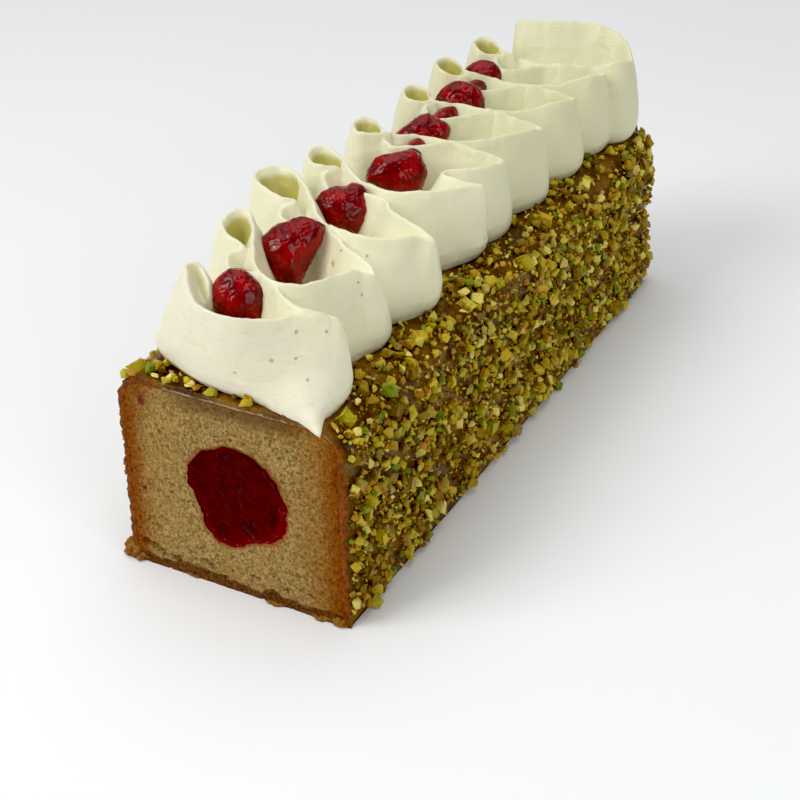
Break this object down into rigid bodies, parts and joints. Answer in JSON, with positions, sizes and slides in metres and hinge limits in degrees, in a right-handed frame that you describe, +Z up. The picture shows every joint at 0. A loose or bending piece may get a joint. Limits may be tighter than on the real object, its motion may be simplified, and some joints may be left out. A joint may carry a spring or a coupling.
{
  "type": "glazed loaf cake",
  "caption": "Rectangular loaf cake cut at one end, with a raspberry core, a glaze covered in chopped pistachio, and a piped ribbon of whipped cream holding drops of jam.",
  "frame": {"origin": "middle of the bounding box, on the plane the cake rests on", "axes": "+Y runs along the loaf from the cut end to the far end, +Z is up, +X is to the right when looking at the cut end"},
  "size_m": [0.082, 0.2416, 0.0994],
  "materials": {
    "sponge_crumb": "open matte sponge crumb",
    "raspberry_filling": "moist cut raspberry filling",
    "nut_glaze": "thin brown glaze with chopped pistachio",
    "whipped_cream": "satin ivory whipped cream",
    "raspberry_jam": "glossy dark raspberry jam"
  },
  "bodies": {
    "root": {"sponge": "sponge_crumb", "raspberry_core": "raspberry_filling", "nut_glaze": "nut_glaze", "cream": "whipped_cream", "jam_drop_1": "raspberry_jam", "jam_drop_2": "raspberry_jam", "jam_drop_3": "raspberry_jam", "jam_chain": "raspberry_jam"}
  },
  "joints": []
}
